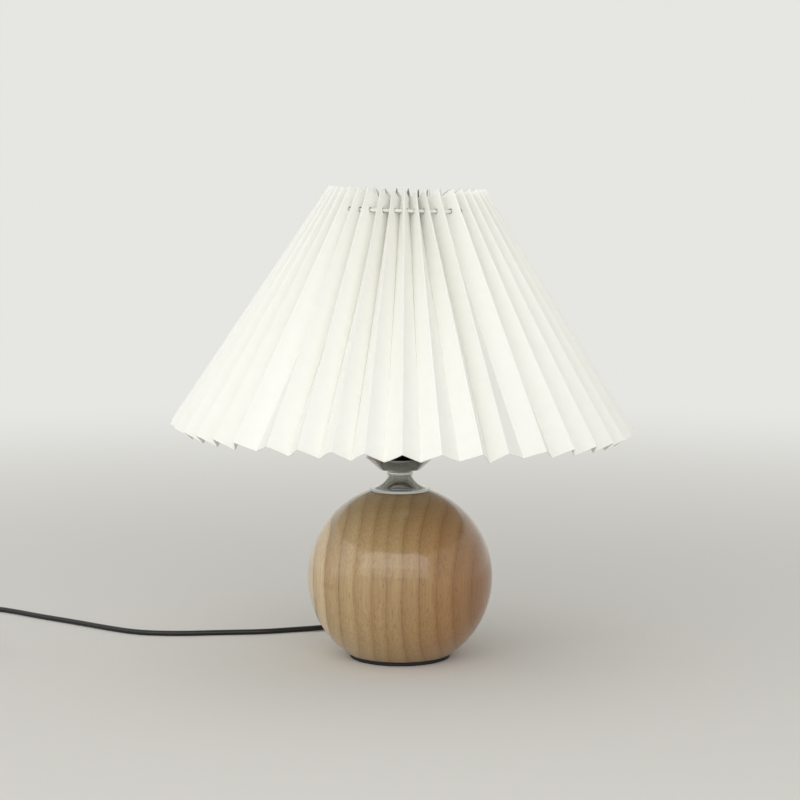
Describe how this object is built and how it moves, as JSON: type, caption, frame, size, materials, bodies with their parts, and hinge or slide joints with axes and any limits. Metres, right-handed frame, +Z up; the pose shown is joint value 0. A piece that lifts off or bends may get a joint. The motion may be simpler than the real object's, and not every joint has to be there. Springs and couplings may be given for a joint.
{
  "type": "pleated table lamp",
  "caption": "Table lamp with a turned wood ball base, a chrome neck and dish, a screw bulb and a wide conical shade of folded white sheet drawn together on a wire ring.",
  "frame": {"origin": "on the table, under the middle of the ball", "axes": "+Z up along the lamp's stem; -Y is the front, the side that the picture shows; the cord leaves the ball at the back, +Y, and lies towards -X"},
  "size_m": [0.5076, 0.3006, 0.3079],
  "materials": {
    "wood": "satin oil",
    "pad": "matt",
    "steel": "zinc plated",
    "chrome": "polished",
    "black_plastic": "semi-gloss",
    "ceramic": "glazed",
    "brass": "bright",
    "bulb_metal": "satin",
    "bulb_white": "satin",
    "bulb_black": "gloss",
    "shade": "smooth laminated",
    "white_wire": "white lacquer",
    "cord": "satin",
    "cores": "matt"
  },
  "bodies": {
    "root": {"wood_ball": "wood", "base_pad": "pad", "threaded_tube": "steel", "lower_washer": "steel", "lower_nut": "steel", "neck_flange": "chrome", "neck_ring": "chrome", "holder_cup": "chrome", "holder_base": "black_plastic", "holder_skirt": "black_plastic", "shade_ring_nut": "black_plastic", "holder_insert": "ceramic", "terminal_screws": "brass", "screw_shell": "brass", "centre_contact": "brass", "cord_sleeve": "cord", "inner_cord": "cord", "supply_wires": "cores", "cord_lead": "cord", "switch_base": "black_plastic", "switch_cover": "black_plastic", "switch_pin": "steel", "switch_contacts": "brass", "switch_screws": "steel", "cord_coil": "cord", "coil_tie": "cord", "cord_link": "cord", "cord_tail": "cord", "plug_body": "black_plastic", "plug_pins": "steel"},
    "shade": {"pleated_shade": "shade", "gather_ring": "white_wire", "shade_collar": "white_wire", "carrier_legs": "white_wire"},
    "bulb_rise": {"bulb_contact": "brass"},
    "bulb": {"bulb_insulator": "bulb_black", "bulb_cap": "bulb_metal", "bulb_body": "bulb_white", "bulb_globe": "bulb_white"},
    "rocker": {"switch_rocker": "black_plastic"}
  },
  "joints": [
    {"name": "shade_turn", "type": "hinge", "parent": "root", "child": "shade", "pos_m": [0, 0, 0.1461], "axis": [0, 0, 1], "continuous": true},
    {"name": "bulb_rise", "type": "slide", "parent": "root", "child": "bulb_rise", "axis": [0, 0, 1], "range_m": [0, 0.0218]},
    {"name": "bulb_turn", "type": "hinge", "parent": "bulb_rise", "child": "bulb", "pos_m": [0, 0, 0.1525], "axis": [0, 0, 1], "range_deg": [0, 2160]},
    {"name": "switch_rocker", "type": "hinge", "parent": "root", "child": "rocker", "pos_m": [-0.3425, 0.058, 0.011], "axis": [1, 0, 0], "range_deg": [0, 14]}
  ],
  "couplings": [
    {"joint": "bulb_rise", "follows": "bulb_turn", "m_per_rad": 0.00057757}
  ]
}
